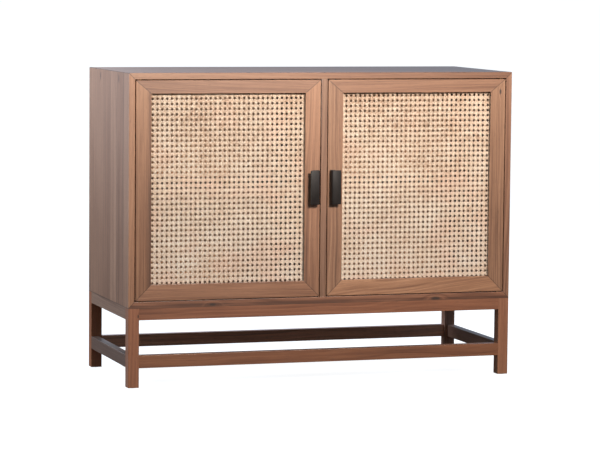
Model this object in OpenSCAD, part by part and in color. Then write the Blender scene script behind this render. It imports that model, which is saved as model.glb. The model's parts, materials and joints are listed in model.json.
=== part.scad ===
// Sideboard with two inset cane doors on an open base.
// Millimetres, +Z up. The origin is on the floor, under the middle of the whole object.
// The front faces -Y and the left door is on the -X side.

/* [Overall] */
// Width over the case
width = 1016; // [840:4:1300]
// Depth of the case, without the pulls
depth = 410; // [350:2:500]
// Height from the floor to the top
height = 784; // [700:2:900]

/* [Case] */
// Thickness of the four case boards
board_t = 16; // [15:1:20]
// Thickness of the center divider
divider_t = 16; // [14:1:22]
// Thickness of the back panel
back_t = 5; // [4:0.5:8]
// How far the back panel is let into each case board
back_rebate = 8; // [7:0.5:10]
// Thickness of the splines in the case mitres
spline_t = 4; // [3:0.5:5]
// Width of the splines in the case mitres, across the joint
spline_w = 12; // [8:1:13]
// Distance of a spline's middle from the inner faces of the boards
spline_inset = 5; // [4.5:0.5:6]
// Distance that the splines stop short of the front and back edges
spline_stop = 25; // [20:1:50]
// Diameter of the dowels above and below the divider
dowel_d = 6; // [5:0.5:8]
// Length of a dowel
dowel_len = 20; // [14:1:22]
// Distance of the outer dowels from the divider's front and back edges
dowel_end = 55; // [40:1:90]

/* [Shelves] */
// Thickness of a shelf
shelf_t = 16; // [12:1:20]
// Distance of a shelf's front edge from the back of the doors
shelf_setback = 24; // [12:1:60]
// Play between a shelf and each wall of its bay
shelf_play = 1.5; // [1.2:0.1:3]
// Height of the shelves' undersides above the floor of the case
shelf_height = 262; // [220:1:300]
// Diameter of a shelf pin
pin_d = 5; // [4:0.5:6]
// Depth that a shelf pin goes into the wall
pin_bite = 6; // [5:0.5:6.5]
// Length of a shelf pin inside the bay
pin_reach = 9; // [7:0.5:12]
// Diameter of the collar on a shelf pin
pin_collar_d = 8; // [7.5:0.5:10]
// Thickness of the collar on a shelf pin
pin_collar_t = 1; // [0.6:0.1:1.1]
// Distance between pin holes in a row
pin_pitch = 32; // [20:1:32]
// Number of pin holes above and below the one in use
pin_spare = 2; // [0:1:3]
// Distance of the pins from the front and back edges of a shelf
pin_edge = 45; // [30:1:70]

/* [Doors] */
// Gap all round each door
door_gap = 2; // [1.8:0.1:3]
// Thickness of the doors
door_t = 20; // [19:0.5:24]
// Width of the door stiles and bottom rails
member_w = 40; // [38:1:60]
// Width of the top rail of a door
top_rail_w = 33.5; // [32:0.5:60]
// Depth from a door's face to its cane
lip_t = 11; // [9:0.5:13]
// Width of the rebate that holds the cane
cane_rebate = 10; // [7:0.5:12]
// Thickness of the woven cane
cane_t = 2; // [1:0.2:3]
// Play at each end of the beads that hold the cane
bead_play = 0.1; // [0.05:0.05:0.5]
// Distance between neighbouring openings of the cane
cane_pitch = 39; // [36:1:60]
// Width of the woven band between two openings
cane_band = 17; // [12:1:22]
// Thickness of the splines in the door mitres
door_spline_t = 4; // [3:0.5:5]
// Width of the splines in the door mitres, across the joint
door_spline_w = 20; // [12:1:22]
// Distance along a door mitre from the outer corner to its spline
door_spline_start = 30; // [29:0.5:34]
// Distance along a door mitre from its spline to the corner of the opening
door_spline_stop = 6; // [3:0.5:10]

/* [Knife hinges] */
// Distance of the hinge axis from the door's outer edge
hinge_in = 12; // [11:0.5:14]
// Distance of the hinge axis behind the door's face
hinge_back = 6; // [5.5:0.1:6.5]
// Thickness of a hinge leaf
leaf_t = 2.5; // [2:0.1:3]
// Width of a hinge leaf
leaf_w = 9; // [8:0.5:10]
// Length of a hinge leaf from its axis to its square end
leaf_len = 36; // [34:1:45]
// Diameter of the hinge pin
hinge_pin_d = 5; // [4:0.5:6]
// Diameter of the boss that the door turns on
hinge_boss_d = 8; // [7:0.5:8]
// Distance of the nearer screw from the hinge axis
hinge_screw_near = 12; // [11:1:14]
// Distance of the further screw from the hinge axis
hinge_screw_far = 28; // [24:1:30]
// Length of a hinge screw
hinge_screw_len = 12; // [8:1:12]
// Play along the axis between a boss and the leaf that it turns on
hinge_float = 0.05; // [0.02:0.01:0.2]

/* [Pulls] */
// Width of a pull's front plate
pull_w = 25; // [20:0.5:30]
// Height of a pull
pull_h = 86; // [70:1:160]
// Thickness of the steel that a pull is bent from
pull_t = 3; // [2:0.5:3.5]
// Distance that a pull stands out from its door
pull_proud = 19; // [14:0.5:30]
// Distance of a pull from the free edge of its door
pull_edge = 5.5; // [3:0.5:8]
// Width of the foot that lies on the door behind the plate
pull_foot_w = 15; // [13:0.5:17]
// Height of a pull's middle above the door's middle
pull_raise = 3; // [-60:1:60]
// Distance between the two screws of a pull
pull_screw_spacing = 56; // [30:1:60]
// Diameter of these screws
pull_screw_d = 4; // [3:0.5:5]
// Diameter of their heads
pull_head_d = 8; // [6:0.5:10]
// Height of their heads
pull_head_h = 2; // [1.5:0.5:3]

/* [Catches] */
// Width of a magnetic catch
catch_w = 40; // [38:1:42]
// Depth of a magnetic catch, front to back
catch_d = 15; // [12:0.5:20]
// Height of a magnetic catch
catch_h = 15; // [14:0.5:18]
// Width of a catch's magnet
magnet_w = 24; // [16:1:24]
// Height of a catch's magnet
magnet_h = 6; // [4:0.5:7]
// Depth of a catch's magnet, front to back
magnet_d = 9; // [6:0.5:10]
// Depth that a catch's screws go into the case
catch_screw_bite = 8; // [6:1:11]
// Width of a strike plate
strike_w = 30; // [28:1:30]
// Height of a strike plate
strike_h = 10; // [8:0.5:12]
// Thickness of a strike plate
strike_t = 1.2; // [0.8:0.1:2]
// Distance of a strike plate below the top of its door
strike_drop = 1; // [1:0.5:2]
// Distance of a strike plate's screws from its ends
strike_screw_end = 7; // [6.5:0.5:9]
// Gap between a closed strike plate and its magnet
catch_gap = 0.3; // [0.2:0.1:1]

/* [Base] */
// Height of the base, from the floor to the case
base_h = 200; // [160:2:260]
// Side of a square leg
leg_w = 28; // [27:1:40]
// Height of the aprons
apron_h = 30; // [28:1:50]
// Thickness of the aprons and stretchers
rail_t = 20; // [16:1:22]
// Height of the stretchers
stretcher_h = 32; // [22:1:50]
// Height of the stretchers above the floor
stretcher_z = 50; // [20:1:70]
// Thickness of the tenons on aprons and stretchers
tenon_t = 8; // [5:0.5:9]
// Length of these tenons
tenon_len = 8; // [5:0.5:9]
// Height of the shoulder above and below a tenon
tenon_shoulder = 5; // [3:0.5:8]
// Length of a corner block along each apron, past the leg
block_len = 50; // [44:1:70]
// Height of a corner block
block_h = 24; // [16:1:27]
// Distance of a corner block's screw from the leg, along each apron
block_screw_in = 10; // [8:1:12]
// Depth that this screw goes into the case
block_screw_bite = 12; // [8:1:12]
// Diameter of a floor glide
glide_d = 18; // [12:1:24]
// Thickness of a floor glide
glide_t = 3; // [2:0.5:5]
// Distance that a glide stands out from its leg
glide_proud = 1; // [0.5:0.1:1.5]

/* [Screws] */
// Diameter of the countersunk screws
screw_d = 3.5; // [3:0.1:4]
// Diameter of their heads
screw_head_d = 6.5; // [6:0.1:7]
// Length of the screws in the back panel
back_screw_len = 20; // [14:1:30]
// Length of the screws in the strike plates
strike_screw_len = 8; // [5:0.5:9]
// Play between a screw, dowel or glide and its hole
hole_play = 0.05; // [0.02:0.01:0.1]
// Play between a hinge pin and its bore
pin_play = 0.05; // [0.02:0.01:0.1]
// Play in the length of a mortise, slot or bore past the piece in it
end_play = 0.5; // [0.2:0.1:1]

/* [Hidden] */

// Sides of a circle, and how far a cut runs past the faces that it opens
$fn = 32;
eps = 1;

// Colours of the wood, the cane and the metals
case_color = "#b28a6c";
door_color = "#ba8e70";
base_color = "#87583e";
side_color = "#a59184";
ply_color = "#b99a78";
cane_color = "#f0d7b9";
iron_color = "#3c3836";
brass_color = "#a88a4e";
steel_color = "#9a9a98";
plastic_color = "#4a4542";

// Places of the case
front_y = pull_proud - (depth + pull_proud) / 2;
back_y = front_y + depth;
case_h = height - base_h;
case_corner = [-width / 2, front_y, base_h];
apron_z = base_h - apron_h;
inner_w = width - 2 * board_t;
inner_h = case_h - 2 * board_t;
bay_w = (inner_w - divider_t) / 2;
floor_z = base_h + board_t;
ceiling_z = height - board_t;
back_face_y = back_y - back_t;

// Sizes and place of the left door
door_w = bay_w - 2 * door_gap;
door_h = inner_h - 2 * door_gap;
door_corner = [-width / 2 + board_t + door_gap, front_y, floor_z + door_gap];
open_w = door_w - 2 * member_w;
open_h = door_h - member_w - top_rail_w;
cane_start = member_w - cane_rebate;
cane_w = open_w + 2 * cane_rebate;
cane_h = open_h + 2 * cane_rebate;
bead_t = door_t - lip_t - cane_t;

// Places of the pull and its screws on the left door
pull_x = door_w - pull_edge - pull_w;
pull_z = door_h / 2 + pull_raise;
pull_screw_x = door_w - pull_edge - (pull_t + pull_foot_w) / 2;

// Places of the shelves and their pins
shelf_front_y = front_y + door_t + shelf_setback;
shelf_d = back_face_y - shelf_play - shelf_front_y;
shelf_z = floor_z + shelf_height;
pin_ys = [shelf_front_y + pin_edge, shelf_front_y + shelf_d - pin_edge];
pin_z = shelf_z - pin_d / 2;

// The walls that carry pins, left to right, each with the way that its pins go in
bay_walls = [
    [-inner_w / 2, "-x"], [-divider_t / 2, "x"], [divider_t / 2, "-x"], [inner_w / 2, "x"]
];

// Places of the strike plates and catches
strike_at = [door_w - member_w / 2, door_h - strike_drop - strike_h / 2];
strike_z = door_corner[2] + strike_at[1];
catch_y = front_y + door_t + strike_t + catch_gap;
catch_x = divider_t / 2 + door_gap + member_w / 2;
catch_screw_x = (magnet_w + catch_w) / 4;

// Places of the back panel's screws: a row along each edge and one up the divider
back_screw_line = inner_w / 2 + back_rebate / 2;
back_screw_low = floor_z - back_rebate / 2;
back_screw_high = ceiling_z + back_rebate / 2;
back_screw_rise = back_screw_high - back_screw_low;
back_screws_at = concat(
    [for (i = [-2 : 2], z = [back_screw_low, back_screw_high]) [i * back_screw_line / 2, z]],
    [for (i = [-1 : 1], j = [1, 2]) [i * back_screw_line, back_screw_low + j * back_screw_rise / 3]]
);

// Shared shapes

// A bar on the X axis, w high and d deep, whose outer edge is at z = 0. From there up to its
// inner edge its ends slope in by two runs along X.
module mitred_bar(len, w, d, runs)
    translate([0, d, 0]) rotate([90, 0, 0]) linear_extrude(d)
        polygon([[0, 0], [len, 0], [len - runs[1], w], [runs[0], w]]);

// The same bar with a rebate along the back of its inner edge
module rebated_bar(len, w, d, runs, rebate_w, rebate_d)
    difference() {
        mitred_bar(len, w, d, runs);
        translate([-eps, d - rebate_d, w - rebate_w])
            cube([len + 2 * eps, rebate_d + eps, rebate_w + eps]);
    }

// Puts a bar on one edge of a rectangle w wide and h high
module on_edge(edge, w, h) {
    if (edge == "bottom") children();
    if (edge == "top") translate([0, 0, h]) mirror([0, 0, 1]) children();
    if (edge == "left") mirror([1, 0, -1]) children();
    if (edge == "right") translate([w, 0, 0]) mirror([1, 0, 0]) mirror([1, 0, -1]) children();
}

// Repeats a shape at both ends of a bar
module both_ends(len) {
    children();
    translate([len, 0, 0]) mirror([1, 0, 0]) children();
}

// Length of the bar on an edge of that rectangle
function edge_len(edge, w, h) = edge == "top" || edge == "bottom" ? w : h;

// Turns a shape that points along +Z so that it points along another axis
module toward(axis)
    rotate(axis == "x" ? [0, 90, 0] : axis == "-x" ? [0, -90, 0]
        : axis == "y" ? [-90, 0, 0] : axis == "-y" ? [90, 0, 0] : [0, 0, 0])
        children();

// Mirrors a shape made for the left side of the object to the side that is named
module on_side(side)
    mirror([side == "left" ? 0 : 1, 0, 0]) children();

// Repeats a shape made for the left side on both sides
module both_sides() {
    on_side("left") children();
    on_side("right") children();
}

// A countersunk screw that points along +Z, with the flat of its head at z = 0
module screw(len)
    rotate_extrude()
        polygon([[0, 0], [screw_head_d / 2, 0], [screw_d / 2, (screw_head_d - screw_d) / 2],
            [screw_d / 2, len - screw_d / 2], [0, len]]);

// The hole for such a screw, open at its head
module screw_hole(len) {
    head_r = screw_head_d / 2 + hole_play;
    shank_r = screw_d / 2 + hole_play;
    rotate_extrude()
        polygon([[0, -eps], [head_r, -eps], [head_r, 0], [shank_r, head_r - shank_r],
            [shank_r, len + end_play], [0, len + end_play]]);
}

// Case

// The spline at the left end of a case board, half of it in that board
module case_spline()
    translate([board_t - spline_inset, spline_stop, board_t - spline_inset]) rotate([0, 45, 0])
        translate([-spline_w / 2, 0, -spline_t / 2])
            cube([spline_w, depth - 2 * spline_stop, spline_t]);

module case_splines() color(ply_color)
    translate(case_corner) for (edge = ["bottom", "top"])
        on_edge(edge, width, case_h) both_ends(width) case_spline();

module case_board(edge) {
    len = edge_len(edge, width, case_h);
    translate(case_corner) on_edge(edge, width, case_h) difference() {
        rebated_bar(len, board_t, depth, [board_t, board_t], back_rebate, back_t);
        both_ends(len) case_spline();
    }
}

module case_top() color(case_color)
    difference() {
        case_board("top");
        dowel_places() dowel_hole();
        back_screw_places() screw_hole(back_screw_len);
        case_leaf_places() leaf_mortise();
        catch_screw_places() screw_hole(catch_h + catch_screw_bite);
    }

module case_bottom() color(case_color)
    difference() {
        case_board("bottom");
        dowel_places() dowel_hole();
        back_screw_places() screw_hole(back_screw_len);
        case_leaf_places() leaf_mortise();
        block_screw_places() screw_hole(block_h + block_screw_bite);
    }

module case_side(side) color(side_color)
    difference() {
        case_board(side);
        back_screw_places() screw_hole(back_screw_len);
        pin_hole_places() pin_hole();
    }

// Divider and its dowels, which stand half in the boards above and below it

module dowel_places()
    for (y = [front_y + dowel_end, (front_y + back_face_y) / 2, back_face_y - dowel_end],
        z = [floor_z, ceiling_z])
        translate([0, y, z]) children();

module dowel_hole()
    cylinder(d = dowel_d + 2 * hole_play, h = dowel_len + 2 * end_play, center = true);

module divider_dowels() color(ply_color)
    dowel_places() cylinder(d = dowel_d, h = dowel_len, center = true);

module center_divider() color(case_color)
    difference() {
        translate([-divider_t / 2, front_y, floor_z])
            cube([divider_t, back_face_y - front_y, inner_h]);
        dowel_places() dowel_hole();
        back_screw_places() screw_hole(back_screw_len);
        pin_hole_places() pin_hole();
    }

// Back panel and its screws

module back_screw_places()
    for (p = back_screws_at) translate([p[0], back_y, p[1]]) toward("-y") children();

module back_screws() color(steel_color)
    back_screw_places() screw(back_screw_len);

module back_panel() color(ply_color)
    difference() {
        translate([-inner_w / 2 - back_rebate, back_face_y, floor_z - back_rebate])
            cube([inner_w + 2 * back_rebate, back_t, inner_h + 2 * back_rebate]);
        back_screw_places() screw_hole(back_screw_len);
    }

// Shelves and their pins

module pin_hole_places()
    for (wall = bay_walls, y = pin_ys, i = [-pin_spare : pin_spare])
        translate([wall[0], y, pin_z + i * pin_pitch]) toward(wall[1]) children();

module pin_hole()
    translate([0, 0, -eps])
        cylinder(d = pin_d + 2 * hole_play, h = pin_bite + end_play + eps);

module shelf_pin()
    rotate_extrude()
        polygon([[0, pin_bite], [pin_d / 2, pin_bite], [pin_d / 2, 0], [pin_collar_d / 2, 0],
            [pin_collar_d / 2, -pin_collar_t], [pin_d / 2, -pin_collar_t],
            [pin_d / 2, -pin_reach], [0, -pin_reach]]);

module shelf_pins() color(brass_color)
    for (wall = bay_walls, y = pin_ys)
        translate([wall[0], y, pin_z]) toward(wall[1]) shelf_pin();

module shelf(side) color(side_color)
    on_side(side) translate([-inner_w / 2 + shelf_play, shelf_front_y, shelf_z])
        cube([bay_w - 2 * shelf_play, shelf_d, shelf_t]);

// Base

// The corner of the base at a side and an end, with the leg towards +X and +Y
module at_corner(side, end)
    on_side(side) translate([-width / 2, end == "front" ? front_y : back_y, 0])
        mirror([0, end == "front" ? 0 : 1, 0]) children();

module all_corners()
    for (side = ["left", "right"], end = ["front", "back"]) at_corner(side, end) children();

// The mortises in one face of a leg, for an apron and a stretcher
module mortises()
    for (rail = [[apron_z, apron_h], [stretcher_z, stretcher_h]])
        translate([leg_w - tenon_len - end_play, (rail_t - tenon_t) / 2, rail[0] + tenon_shoulder])
            cube([tenon_len + end_play + eps, tenon_t, rail[1] - 2 * tenon_shoulder]);

module leg(side, end) color(base_color)
    at_corner(side, end) difference() {
        translate([0, 0, glide_proud]) cube([leg_w, leg_w, base_h - glide_proud]);
        mortises();
        mirror([1, -1, 0]) mortises();
        translate([leg_w / 2, leg_w / 2, -eps])
            cylinder(d = glide_d + 2 * hole_play, h = glide_t + eps);
    }

module floor_glides() color(plastic_color)
    all_corners() translate([leg_w / 2, leg_w / 2, 0]) cylinder(d = glide_d, h = glide_t);

// A rail of a length between its shoulders, with a stub tenon at each end
module base_rail(len, h) {
    cube([len, rail_t, h]);
    translate([-tenon_len, (rail_t - tenon_t) / 2, tenon_shoulder])
        cube([len + 2 * tenon_len, tenon_t, h - 2 * tenon_shoulder]);
}

module long_rail(end, z, h) color(base_color)
    at_corner("left", end) translate([leg_w, 0, z]) base_rail(width - 2 * leg_w, h);

module short_rail(side, z, h) color(base_color)
    at_corner(side, "front") mirror([1, -1, 0]) translate([leg_w, 0, z])
        base_rail(depth - 2 * leg_w, h);

module apron_front() long_rail("front", apron_z, apron_h);
module apron_back() long_rail("back", apron_z, apron_h);
module apron_side(side) short_rail(side, apron_z, apron_h);
module stretcher_front() long_rail("front", stretcher_z, stretcher_h);
module stretcher_back() long_rail("back", stretcher_z, stretcher_h);
module stretcher_side(side) short_rail(side, stretcher_z, stretcher_h);

module block_screw_places()
    all_corners() translate([leg_w + block_screw_in, leg_w + block_screw_in, base_h - block_h])
        children();

module corner_blocks() color(ply_color)
    difference() {
        all_corners() translate([0, 0, base_h - block_h]) linear_extrude(block_h)
            polygon([[leg_w, rail_t], [leg_w + block_len, rail_t], [rail_t, leg_w + block_len],
                [rail_t, leg_w], [leg_w, leg_w]]);
        block_screw_places() screw_hole(block_h + block_screw_bite);
    }

module base_screws() color(steel_color)
    block_screw_places() screw(block_h + block_screw_bite);

// Knife hinges, whose leaves lie flush in the case and in the ends of the door

// The top and bottom hinge of a door. From the axis at the door's end, +Z leads to the case.
module at_hinges() {
    translate([hinge_in, hinge_back, door_h]) children();
    translate([hinge_in, hinge_back, 0]) mirror([0, 0, 1]) children();
}

module case_leaf_places()
    both_sides() on_left_door() at_hinges() translate([0, 0, door_gap]) children();

module door_leaf_places()
    at_hinges() mirror([0, 0, 1]) children();

module hinge_screw_places()
    for (x = [hinge_screw_near, hinge_screw_far]) translate([x, 0, 0]) children();

// A leaf from its bearing face at z = 0, round at its axis and square at its other end
module leaf_blank(play, mouth)
    translate([0, 0, -mouth]) {
        cylinder(d = leaf_w + 2 * play, h = leaf_t + mouth);
        translate([0, -leaf_w / 2 - play, 0])
            cube([leaf_len + play, leaf_w + 2 * play, leaf_t + mouth]);
    }

module leaf_plate()
    difference() {
        leaf_blank(0, 0);
        hinge_screw_places() screw_hole(hinge_screw_len);
    }

// What a leaf and its screws take out of the wood
module leaf_mortise() {
    leaf_blank(hole_play, eps);
    hinge_screw_places() screw_hole(hinge_screw_len);
}

module hinge_case_leaves() color(brass_color)
    case_leaf_places() difference() {
        leaf_plate();
        translate([0, 0, -eps]) cylinder(d = hinge_pin_d + 2 * pin_play, h = leaf_t + 2 * eps);
    }

module hinge_door_leaves(side) color(brass_color)
    on_side(side) on_left_door() {
        door_leaf_places() leaf_plate();
        at_hinges() {
            cylinder(d = hinge_boss_d, h = door_gap - hinge_float);
            cylinder(d = hinge_pin_d, h = door_gap + leaf_t - end_play);
        }
    }

// Magnetic catches under the top of the case

module catch_places()
    both_sides() translate([-catch_x, catch_y, 0]) children();

module catch_screw_places()
    catch_places() for (x = [-catch_screw_x, catch_screw_x])
        translate([x, catch_d / 2, ceiling_z - catch_h]) children();

// A magnet whose face is brought forward by some depth
module magnet(forward)
    translate([-magnet_w / 2, -forward, strike_z - magnet_h / 2])
        cube([magnet_w, magnet_d + forward, magnet_h]);

module catch_magnets() color(steel_color)
    catch_places() magnet(0);

module catch_housings() color(plastic_color)
    difference() {
        catch_places() translate([-catch_w / 2, 0, ceiling_z - catch_h])
            cube([catch_w, catch_d, catch_h]);
        catch_places() magnet(eps);
        catch_screw_places() screw_hole(catch_h + catch_screw_bite);
    }

module case_hardware_screws() color(steel_color) {
    case_leaf_places() hinge_screw_places() screw(hinge_screw_len);
    catch_screw_places() screw(catch_h + catch_screw_bite);
}

// Doors, all made as the left one, with its outer lower front corner at the origin

module on_left_door()
    translate(door_corner) children();

module on_door(side)
    on_side(side) on_left_door() children();

// The spline in the mitre at the left end of a rail, half in the rail and half in the stile
module door_spline(rail_w) {
    len = norm([member_w, rail_w]) - door_spline_start - door_spline_stop;
    rotate([0, -atan2(rail_w, member_w), 0])
        translate([door_spline_start, (lip_t - door_spline_t) / 2, -door_spline_w / 2])
            cube([len, door_spline_t, door_spline_w]);
}

module door_corner_splines() {
    both_ends(door_w) door_spline(member_w);
    on_edge("top", door_w, door_h) both_ends(door_w) door_spline(top_rail_w);
}

// A stile or rail, whose mitres run from the door's corners to those of its opening
module door_member(edge) {
    w = edge == "top" ? top_rail_w : member_w;
    far_run = edge == "left" || edge == "right" ? top_rail_w : member_w;
    difference() {
        on_edge(edge, door_w, door_h)
            rebated_bar(edge_len(edge, door_w, door_h), w, door_t, [member_w, far_run],
                cane_rebate, door_t - lip_t);
        door_corner_splines();
    }
}

module hinge_stile(side) color(door_color)
    on_door(side) door_member("left");

module pull_stile(side) color(door_color)
    on_door(side) difference() {
        door_member("right");
        pull_screw_places() translate([0, 0, -eps])
            cylinder(d = pull_screw_d + 2 * hole_play, h = door_t + 2 * eps);
    }

module top_rail(side) color(door_color)
    on_door(side) difference() {
        door_member("top");
        door_leaf_places() leaf_mortise();
        strike_screw_places() screw_hole(strike_screw_len);
    }

module bottom_rail(side) color(door_color)
    on_door(side) difference() {
        door_member("bottom");
        door_leaf_places() leaf_mortise();
    }

module door_splines(side) color(ply_color)
    on_door(side) door_corner_splines();

module door_screws(side) color(steel_color)
    on_door(side) {
        door_leaf_places() hinge_screw_places() screw(hinge_screw_len);
        strike_screw_places() screw(strike_screw_len);
    }

// Woven cane: a sheet in the rebate, whose eight-sided openings fill the door's opening
module cane(side) color(cane_color) {
    cols = floor(open_w / cane_pitch);
    rows = floor(open_h / cane_pitch);
    hole_r = (cane_pitch - cane_band) / 2 / cos(180 / 8);
    on_door(side) translate([cane_start, lip_t + cane_t, cane_start]) rotate([90, 0, 0])
        linear_extrude(cane_t) difference() {
            square([cane_w, cane_h]);
            for (i = [0 : cols - 1], j = [0 : rows - 1])
                translate([cane_w / 2 + (i - (cols - 1) / 2) * cane_pitch,
                    cane_h / 2 + (j - (rows - 1) / 2) * cane_pitch])
                    rotate(180 / 8) circle(hole_r, $fn = 8);
        }
}

module cane_beads(side) color(door_color)
    on_door(side) translate([cane_start, lip_t + cane_t, cane_start])
        for (edge = ["bottom", "top", "left", "right"])
            on_edge(edge, cane_w, cane_h) translate([bead_play, 0, 0])
                mitred_bar(edge_len(edge, cane_w, cane_h) - 2 * bead_play, cane_rebate, bead_t,
                    [cane_rebate, cane_rebate]);

// Strike plates on the backs of the doors

module strike_screw_places()
    for (x = [strike_screw_end - strike_w / 2, strike_w / 2 - strike_screw_end])
        translate([strike_at[0] + x, door_t + strike_t, strike_at[1]]) toward("-y") children();

module strike_plate(side) color(steel_color)
    on_door(side) difference() {
        translate([strike_at[0] - strike_w / 2, door_t, strike_at[1] - strike_h / 2])
            cube([strike_w, strike_t, strike_h]);
        strike_screw_places() screw_hole(strike_screw_len);
    }

// Pulls: steel bent into a front plate, a web by the door's free edge, and a foot on the door

module pull_screw_places()
    for (z = [-pull_screw_spacing / 2, pull_screw_spacing / 2])
        translate([pull_screw_x, 0, pull_z + z]) toward("y") children();

module pull(side) color(iron_color)
    on_door(side) difference() {
        translate([pull_x, -pull_proud, pull_z - pull_h / 2]) {
            cube([pull_w, pull_t, pull_h]);
            translate([pull_w - pull_t, 0, 0]) cube([pull_t, pull_proud, pull_h]);
            translate([pull_w - pull_foot_w, pull_proud - pull_t, 0])
                cube([pull_foot_w, pull_t, pull_h]);
        }
        pull_screw_places() translate([0, 0, -pull_t - eps])
            cylinder(d = pull_screw_d + 2 * hole_play, h = pull_t + 2 * eps);
    }

module pull_screws(side) color(steel_color)
    on_door(side) pull_screw_places() {
        translate([0, 0, -pull_t]) cylinder(d = pull_screw_d, h = pull_t + door_t);
        translate([0, 0, door_t]) cylinder(d = pull_head_d, h = pull_head_h);
    }

case_top();
case_bottom();
case_side("left");  // case_side_left
case_side("right");  // case_side_right
case_splines();
center_divider();
divider_dowels();
back_panel();
back_screws();
shelf("left");  // shelf_left
shelf("right");  // shelf_right
shelf_pins();
leg("left", "front");  // leg_front_left
leg("right", "front");  // leg_front_right
leg("left", "back");  // leg_back_left
leg("right", "back");  // leg_back_right
apron_front();
apron_back();
apron_side("left");  // apron_left
apron_side("right");  // apron_right
stretcher_front();
stretcher_back();
stretcher_side("left");  // stretcher_left
stretcher_side("right");  // stretcher_right
corner_blocks();
base_screws();
floor_glides();
catch_housings();
catch_magnets();
hinge_case_leaves();
case_hardware_screws();
hinge_stile("left");  // left_hinge_stile
pull_stile("left");  // left_pull_stile
top_rail("left");  // left_top_rail
bottom_rail("left");  // left_bottom_rail
door_splines("left");  // left_door_splines
cane("left");  // left_cane
cane_beads("left");  // left_cane_beads
strike_plate("left");  // left_strike_plate
pull("left");  // left_pull
pull_screws("left");  // left_pull_screws
hinge_door_leaves("left");  // left_hinge_leaves
door_screws("left");  // left_door_screws
hinge_stile("right");  // right_hinge_stile
pull_stile("right");  // right_pull_stile
top_rail("right");  // right_top_rail
bottom_rail("right");  // right_bottom_rail
door_splines("right");  // right_door_splines
cane("right");  // right_cane
cane_beads("right");  // right_cane_beads
strike_plate("right");  // right_strike_plate
pull("right");  // right_pull
pull_screws("right");  // right_pull_screws
hinge_door_leaves("right");  // right_hinge_leaves
door_screws("right");  // right_door_screws
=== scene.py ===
import json
import math
import random

import bmesh
import bpy
from mathutils import Euler, Matrix, Vector
from mathutils.noise import noise_vector, seed_set

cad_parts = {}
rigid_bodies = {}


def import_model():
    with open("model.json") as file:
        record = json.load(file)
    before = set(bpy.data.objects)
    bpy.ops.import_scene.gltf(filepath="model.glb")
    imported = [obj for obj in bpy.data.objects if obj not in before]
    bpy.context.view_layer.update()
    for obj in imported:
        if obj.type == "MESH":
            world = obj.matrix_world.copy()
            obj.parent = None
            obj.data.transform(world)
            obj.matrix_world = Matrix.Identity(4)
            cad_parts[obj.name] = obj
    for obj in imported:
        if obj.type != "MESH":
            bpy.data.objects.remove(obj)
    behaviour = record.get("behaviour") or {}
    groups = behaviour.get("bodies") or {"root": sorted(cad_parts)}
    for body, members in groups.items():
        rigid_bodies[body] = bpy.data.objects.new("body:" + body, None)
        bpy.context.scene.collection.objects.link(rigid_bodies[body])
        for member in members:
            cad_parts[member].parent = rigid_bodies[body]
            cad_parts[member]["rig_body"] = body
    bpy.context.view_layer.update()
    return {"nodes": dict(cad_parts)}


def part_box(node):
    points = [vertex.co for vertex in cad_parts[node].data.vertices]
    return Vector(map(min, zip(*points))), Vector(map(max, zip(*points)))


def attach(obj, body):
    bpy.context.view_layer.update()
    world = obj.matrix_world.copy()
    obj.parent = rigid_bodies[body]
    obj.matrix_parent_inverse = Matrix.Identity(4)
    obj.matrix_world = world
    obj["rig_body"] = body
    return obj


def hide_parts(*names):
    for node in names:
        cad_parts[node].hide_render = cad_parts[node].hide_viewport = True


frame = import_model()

nodes = frame["nodes"]

# Camera
# The photograph was taken from the left of the middle, about a metre up, with a long lens that
# looks slightly down. The place is measured from the floor below the case's front left corner.
CAMERA_PLACE = Vector((-1.7256, -6.6513, 1.0416))
LENS = 167.2
ROLL = math.radians(0.53)
LOOK_DOWN = math.radians(5.24)
LOOK_RIGHT = math.radians(18.08)

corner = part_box("case_side_left")[0]
corner.z = 0.0
rolled = Matrix.Rotation(ROLL, 3, "Y")
lowered = Matrix.Rotation(LOOK_DOWN, 3, "X")
turned = Matrix.Rotation(LOOK_RIGHT, 3, "Z")
to_right, forward, upward = rolled @ lowered @ turned
bpy.ops.object.camera_add()
camera = bpy.context.object
camera.matrix_world = Matrix.LocRotScale(
    corner + CAMERA_PLACE,
    Matrix((to_right, upward, -forward)).transposed().to_quaternion(),
    None,
)
camera.data.sensor_width = 36.0
camera.data.sensor_fit = "HORIZONTAL"
camera.data.lens = LENS
camera.data.clip_end = 500.0
bpy.context.scene.camera = camera

# Studio
# A pale floor, a soft warm key light in front and above, cool lights beyond the left and the
# right side, a wide weak one behind, and a surround that is cool above and dim below.
FLOOR_SIZE = 240.0
FLOOR_GREY = 0.35
FLOOR_GLOW = 0.93

bpy.ops.mesh.primitive_plane_add(size=FLOOR_SIZE, location=(0.0, FLOOR_SIZE / 4, 0.0))
floor = bpy.context.object
floor.name = "floor"
# The floor glows as pale as the photograph's, but lights no piece and is mirrored in none.
floor.visible_diffuse = False
floor.visible_glossy = False
floor_paint = bpy.data.materials.new("pale_floor")
floor_paint.use_nodes = True
floor_shader = floor_paint.node_tree.nodes["Principled BSDF"]
floor_shader.inputs["Base Color"].default_value = (FLOOR_GREY, FLOOR_GREY, FLOOR_GREY, 1.0)
floor_shader.inputs["Roughness"].default_value = 0.9
floor_shader.inputs["Specular IOR Level"].default_value = 0.0
floor_shader.inputs["Emission Color"].default_value = (1.0, 1.0, 1.0, 1.0)
floor_shader.inputs["Emission Strength"].default_value = FLOOR_GLOW
floor.data.materials.append(floor_paint)


def soft_light(name, place, target, size, power, spread, tint):
    """A square area light at a place, turned to a target, that no camera sees."""
    bpy.ops.object.light_add(type="AREA", location=place)
    light = bpy.context.object
    light.name = name
    light.rotation_euler = (Vector(target) - Vector(place)).to_track_quat("-Z", "Y").to_euler()
    light.data.size = size
    light.data.energy = power
    light.data.spread = math.radians(spread)
    light.data.color = tint
    light.visible_camera = False


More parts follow.
